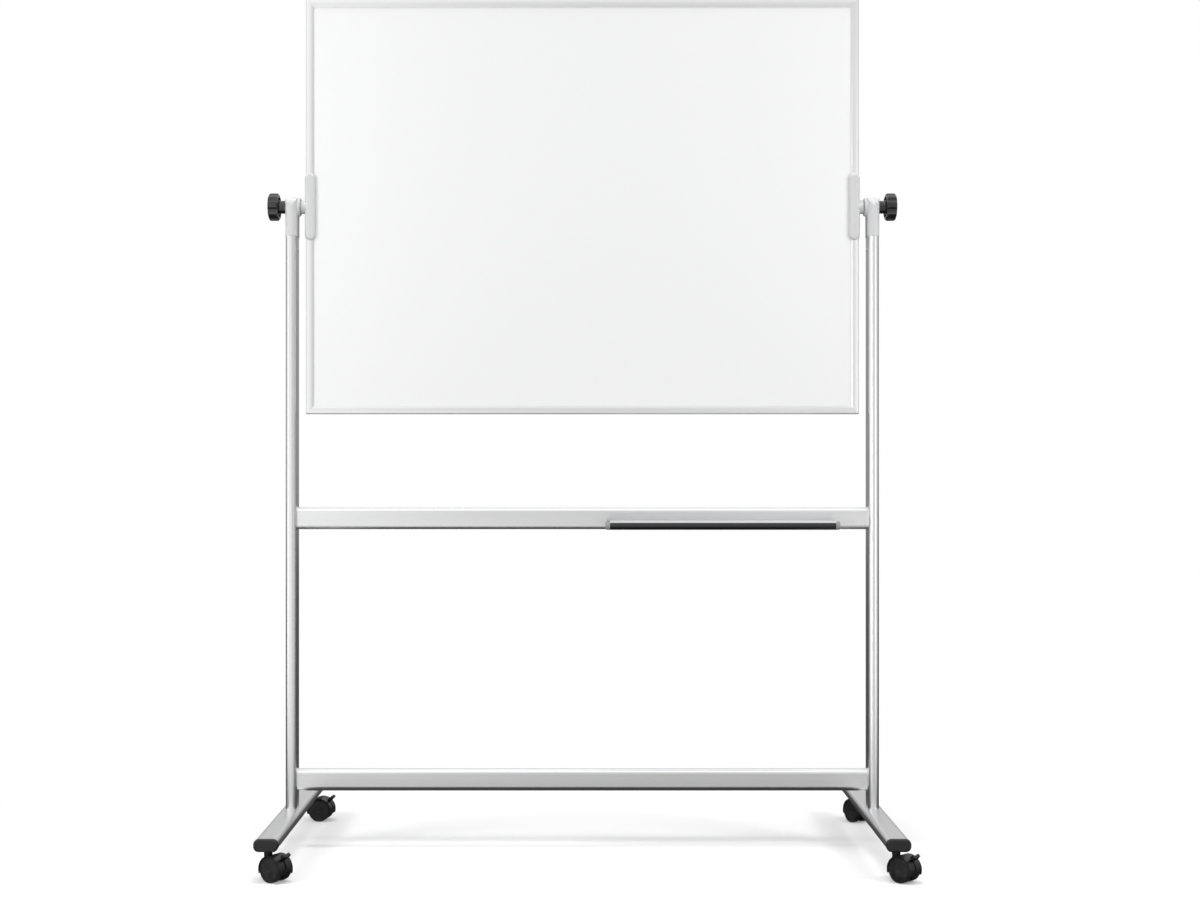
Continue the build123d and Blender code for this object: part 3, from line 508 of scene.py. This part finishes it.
TUBE_SILVER = (0.85, 0.853, 0.86)
FRAME_SILVER = (0.89, 0.893, 0.897)
TRAY_SILVER = (0.82, 0.823, 0.83)
tube_finish = {way: anodised(f"tube_aluminium_{way}", way, TUBE_SILVER, 0.30) for way in "XYZ"}
frame_finish = {way: anodised(f"frame_aluminium_{way}", way, FRAME_SILVER, 0.34) for way in "XZ"}
# the painted shade on the tray begins this far below the top of its end caps
TRAY_LIP_DEPTH = 0.0028
tray_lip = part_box("tray_end_caps")[1].z - TRAY_LIP_DEPTH
tray_finish = anodised("tray_aluminium_X", "X", TRAY_SILVER, 0.33, painted_shade_below=tray_lip)
print("aluminium finishes:", len(tube_finish) + len(frame_finish) + 1)

# %% [markdown]
# The writing face is steel under fired enamel or a hard lacquer: nearly white,
# glossy, and not quite flat. A slow, shallow swell, like orange peel, breaks up
# what it mirrors, and wiping leaves faint patches that are only a little duller
# than the rest.


# %% The writing face
def writing_enamel():
    bench = Bench("writing_enamel", (0.85, 0.853, 0.855), 0.22, corner=0.0003)
    swell = noise_node(bench.tree, bench.place, 130.0, 2.0, 0.4)
    wiped = noise_node(bench.tree, bench.scaled(1.2, 1.0, 3.4), 5.0, 3.0, 0.5)
    bench.set("Roughness", span_node(bench.tree, wiped, 0.2, 0.8, 0.235, 0.265))
    bench.bump(swell, 0.00002)
    bench.shader.inputs["Coat Weight"].default_value = 0.35
    bench.shader.inputs["Coat Roughness"].default_value = 0.12
    return bench.material


# %% [markdown]
# The post heads and the board's side brackets are castings under a light grey
# silk paint. The black pieces are moulded: matt ones with a spark-eroded grain,
# and the two knobs in a hard glossy resin, as they come out of a polished mould.


# %% Painted castings
def grey_casting():
    color = (0.60, 0.605, 0.61)
    bench = Bench("grey_casting", color, 0.42, corner=0.0007)
    grain = bench.effect(mould_grain, Vector=bench.place, Fineness=900.0)
    rounded = bench.rounded.outputs["Normal"]
    wear = bench.effect(corner_wear, Vector=bench.place, Rounded=rounded, Amount=0.25)
    bench.set("Base Color", bench.mix(wear.outputs["Mask"], color, (0.74, 0.74, 0.74)))
    bench.set("Roughness", span_node(bench.tree, grain.outputs["Patches"], 0, 1, 0.38, 0.46))
    bench.bump(grain.outputs["Height"], 0.00004)
    return bench.material


# %% Moulded plastic, matt or glossy
GRAIN_FINENESS = 1400.0
DUST_COLOR = (0.32, 0.31, 0.295)


def moulded(name, color, roughness, grain_depth, dust=0.0, dust_reach=0.1):
    bench = Bench(name, color, roughness, corner=0.0004)
    grain = bench.effect(mould_grain, Vector=bench.place, Fineness=GRAIN_FINENESS)
    rounded = bench.rounded.outputs["Normal"]
    wear = bench.effect(corner_wear, Vector=bench.place, Rounded=rounded, Amount=0.35)
    worn = tuple(min(1.0, channel * 1.9 + 0.02) for channel in color)
    shade = bench.mix(wear.outputs["Mask"], color, worn)
    smooth, coarse = roughness - 0.05, roughness + 0.05
    rough = span_node(bench.tree, grain.outputs["Patches"], 0, 1, smooth, coarse)
    if dust:
        film = bench.effect(settled_dust, Vector=bench.place, Reach=dust_reach, Amount=dust)
        shade = bench.mix(film.outputs["Mask"], shade, DUST_COLOR)
        duller = math_node(bench.tree, "MULTIPLY", film.outputs["Mask"], 0.4)
        rough = math_node(bench.tree, "ADD", rough, duller, clamp=True)
    bench.set("Base Color", shade)
    bench.set("Roughness", rough)
    bench.bump(grain.outputs["Height"], grain_depth)
    return bench.material


def knob_resin():
    bench = Bench("knob_resin", (0.010, 0.010, 0.011), 0.13, corner=0.0006)
    smears = noise_node(bench.tree, bench.place, 95.0, 4.0, 0.6)
    bench.set("Roughness", span_node(bench.tree, smears, 0.4, 0.7, 0.10, 0.19))
    ripple = noise_node(bench.tree, bench.place, 60.0, 1.0, 0.4)
    bench.bump(ripple, 0.00004)
    bench.shader.inputs["Coat Weight"].default_value = 0.5
    bench.shader.inputs["Coat Roughness"].default_value = 0.06
    return bench.material


# %% [markdown]
# Bolts, studs and axles are zinc-plated steel, and the knobs turn on moulded-in
# brass. Plating is a little cloudy and a little blue.


# %% Plated steel, brass and the board's core
def turned_metal(name, color, roughness):
    bench = Bench(name, color, roughness, metallic=1.0, corner=0.0002)
    cloud = noise_node(bench.tree, bench.place, 400.0, 3.0)
    fine = noise_node(bench.tree, bench.place, 2600.0, 2.0)
    darker = tuple(channel * 0.86 for channel in color)
    bench.set("Base Color", bench.mix(span_node(bench.tree, cloud, 0.35, 0.65), color, darker))
    smooth, rough = roughness - 0.06, roughness + 0.06
    bench.set("Roughness", span_node(bench.tree, fine, 0.3, 0.7, smooth, rough))
    return bench.material


def core_board():
    bench = Bench("core_board", (0.52, 0.40, 0.26), 0.85)
    fibre = noise_node(bench.tree, bench.scaled(1.0, 3.0, 0.2), 700.0, 4.0)
    bench.set("Base Color", bench.mix(fibre, (0.56, 0.44, 0.30), (0.40, 0.30, 0.19)))
    return bench.material


finish_of_slot = {
    "tray_aluminium": tray_finish,
    "writing_enamel": writing_enamel(),
    "honeycomb_core": core_board(),
    "grey_casting": grey_casting(),
    "black_moulding": moulded("black_moulding", (0.008, 0.008, 0.0085), 0.40, 0.00003, 0.10, 0.10),
    "grey_moulding": moulded("grey_moulding", (0.36, 0.365, 0.37), 0.45, 0.00003),
    "knob_gloss": knob_resin(),
    "knob_brass": turned_metal("knob_brass", (0.72, 0.53, 0.27), 0.30),
    "fastener_steel": turned_metal("fastener_steel", (0.66, 0.67, 0.69), 0.28),
    "caster_black": moulded("caster_black", (0.006, 0.006, 0.0065), 0.38, 0.00002, 0.10, 0.05),
    "wheel_black": moulded("wheel_black", (0.010, 0.010, 0.0105), 0.42, 0.00002, 0.22, 0.05),
}
drawn_along = {
    "left_foot_arm": "Y", "right_foot_arm": "Y", "left_post": "Z", "right_post": "Z",
    "mid_crossbar": "X", "low_crossbar": "X", "top_rail": "X", "bottom_rail": "X",
    "left_stile": "Z", "right_stile": "Z",
}

# %% Give every solid its finish
slot_of_node = {row["node"]: row["material_slot"] for row in frame["record"]["subparts"]}
for name, node in nodes.items():
    slot_name = slot_of_node[name]
    if slot_name == "tube_aluminium":
        finish = tube_finish[drawn_along[name]]
    elif slot_name == "frame_aluminium":
        finish = frame_finish[drawn_along[name]]
    else:
        finish = finish_of_slot[slot_name]
    for slot_index in range(len(node.material_slots)):
        node.material_slots[slot_index].material = finish
    if not node.material_slots:
        node.data.materials.append(finish)
print("finished solids:", len(nodes))

# %% [markdown]
# ## Crossed screw heads
# Screws are what a hand meets, so they get their real heads. A head is a small
# profile spun about its own axis, and the cross is cut out of it with a tapered
# cutter. All the screws of one kind are one piece, which stands for the plain
# solid and rides on the same body.


# %% Spin a screw and cut its cross
SCREW_STEPS = 32
CROSS_TAPER = (0.55, 0.7, 1.0, 1.0)


def spun_profile(points):
    """A closed bmesh: a profile of (radius, height) points spun about Z."""
    builder = bmesh.new()
    verts = [builder.verts.new((radius, 0.0, height)) for radius, height in points]
    edges = [builder.edges.new(pair) for pair in zip(verts, verts[1:])]
    bmesh.ops.spin(
        builder, geom=verts + edges, cent=(0, 0, 0), axis=(0, 0, 1),
        angle=math.tau, steps=SCREW_STEPS, use_merge=True,
    )
    bmesh.ops.remove_doubles(builder, verts=builder.verts, dist=1e-7)
    bmesh.ops.recalc_face_normals(builder, faces=builder.faces)
    return builder


def cross_cutter(reach, width, depth, top):
    """Two crossed tapered blades whose tops stand above a screw's head."""
    builder = bmesh.new()
    for turn in (0.0, math.pi / 2):
        made_now = bmesh.ops.create_cube(builder, size=1.0)["verts"]
        shape = Matrix.Diagonal((2 * reach, width, 2 * depth, 1.0))
        bmesh.ops.transform(builder, matrix=shape, verts=made_now)
        low = [v for v in made_now if v.co.z < 0]
        bmesh.ops.transform(builder, matrix=Matrix.Diagonal(CROSS_TAPER), verts=low)
        bmesh.ops.transform(builder, matrix=Matrix.Rotation(turn, 4, "Z"), verts=made_now)
    bmesh.ops.translate(builder, vec=(0, 0, top), verts=builder.verts)
    return builder


def as_object(name, builder):
    """The bmesh as an object of the scene; the bmesh is freed."""
    mesh = bpy.data.meshes.new(name)
    builder.to_mesh(mesh)
    builder.free()
    made_now = bpy.data.objects.new(name, mesh)
    scene.collection.objects.link(made_now)
    return made_now


def crossed_screw(profile, reach, width, depth):
    """The mesh of one screw along Z, with its cross cut out of the head."""
    head_top = max(height for _, height in profile)
    screw = as_object("one_screw", spun_profile(profile))
    cutter = as_object("one_cutter", cross_cutter(reach, width, depth, head_top))
    cut = screw.modifiers.new("cross", "BOOLEAN")
    cut.operation = "DIFFERENCE"
    cut.solver = "EXACT"
    cut.use_self = True
    cut.object = cutter
    bpy.context.view_layer.update()
    evaluated = screw.evaluated_get(bpy.context.evaluated_depsgraph_get())
    finished = bpy.data.meshes.new_from_object(evaluated)
    for gone in (screw, cutter):
        bpy.data.objects.remove(gone)
    return finished


def screw_set(name, node, body, mesh, seats):
    """Copies of one screw at (point, direction) seats, as one piece for a CAD node."""
    builder = bmesh.new()
    for point, direction in seats:
        fresh = bmesh.new()
        fresh.from_mesh(mesh)
        turn = Vector(direction).to_track_quat("Z", "Y").to_matrix().to_4x4()
        bmesh.ops.transform(fresh, matrix=Matrix.Translation(point) @ turn, verts=fresh.verts)
        placed = bpy.data.meshes.new("placed_screw")
        fresh.to_mesh(placed)
        fresh.free()
        builder.from_mesh(placed)
        bpy.data.meshes.remove(placed)
    piece = as_object(name, builder)
    piece.data.materials.append(finish_of_slot["fastener_steel"])
    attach(piece, body)
    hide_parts(node)
    print(name, len(piece.data.polygons), "faces")


# %% [markdown]
# Pan heads hold the tray and the post heads, and countersunk ones lie flush in the
# brackets. A pan head is a flattened dome: straight at the rim, round at the
# shoulder and nearly flat on top.

# %% Place the screws
PAN_RADIUS, PAN_HEIGHT, SHANK = 0.0036, 0.0022, 0.00198
PAN = [
    (0.0, PAN_HEIGHT), (0.0016, PAN_HEIGHT * 0.97), (0.0027, PAN_HEIGHT * 0.84),
    (0.0034, PAN_HEIGHT * 0.52), (PAN_RADIUS, PAN_HEIGHT * 0.16), (PAN_RADIUS, 0.0),
    (SHANK, 0.0), (SHANK, -0.006), (0.0, -0.0066),
]
FLAT = [
    (0.0, -0.00002), (0.0034, -0.00002), (PAN_RADIUS - 0.0001, -0.0002),
    (SHANK, -0.0020), (SHANK, -0.0080), (0.0, -0.0086),
]
CROSS_REACH, CROSS_WIDTH = 0.0019, 0.0008
pan_mesh = crossed_screw(PAN, CROSS_REACH, CROSS_WIDTH, 0.0013)
flat_mesh = crossed_screw(FLAT, CROSS_REACH, CROSS_WIDTH, 0.0012)
head_low, head_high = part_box("head_screws")
inner_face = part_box("left_post")[1].x
head_z = (head_low.z + head_high.z) / 2
screw_set(
    "crossed_head_screws", "head_screws", "stand", pan_mesh,
    [((inner_face, 0.0, head_z), (1, 0, 0)), ((-inner_face, 0.0, head_z), (-1, 0, 0))],
)
tray_low, tray_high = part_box("tray_screws")
tray_z = (tray_low.z + tray_high.z) / 2
tray_y = tray_low.y + PAN_HEIGHT
tray_ends = (tray_low.x + PAN_RADIUS, tray_high.x - PAN_RADIUS)
screw_set(
    "crossed_tray_screws", "tray_screws", "stand", pan_mesh,
    [((x, tray_y, tray_z), (0, -1, 0)) for x in (tray_ends[0], sum(tray_ends) / 2, tray_ends[1])],
)
side_low, side_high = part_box("bracket_screws")
screw_set(
    "crossed_bracket_screws", "bracket_screws", "board", flat_mesh,
    [
        ((side * side_high.x, 0.0, z), (side, 0, 0))
        for side in (-1, 1) for z in (side_low.z + PAN_RADIUS, side_high.z - PAN_RADIUS)
    ],
)
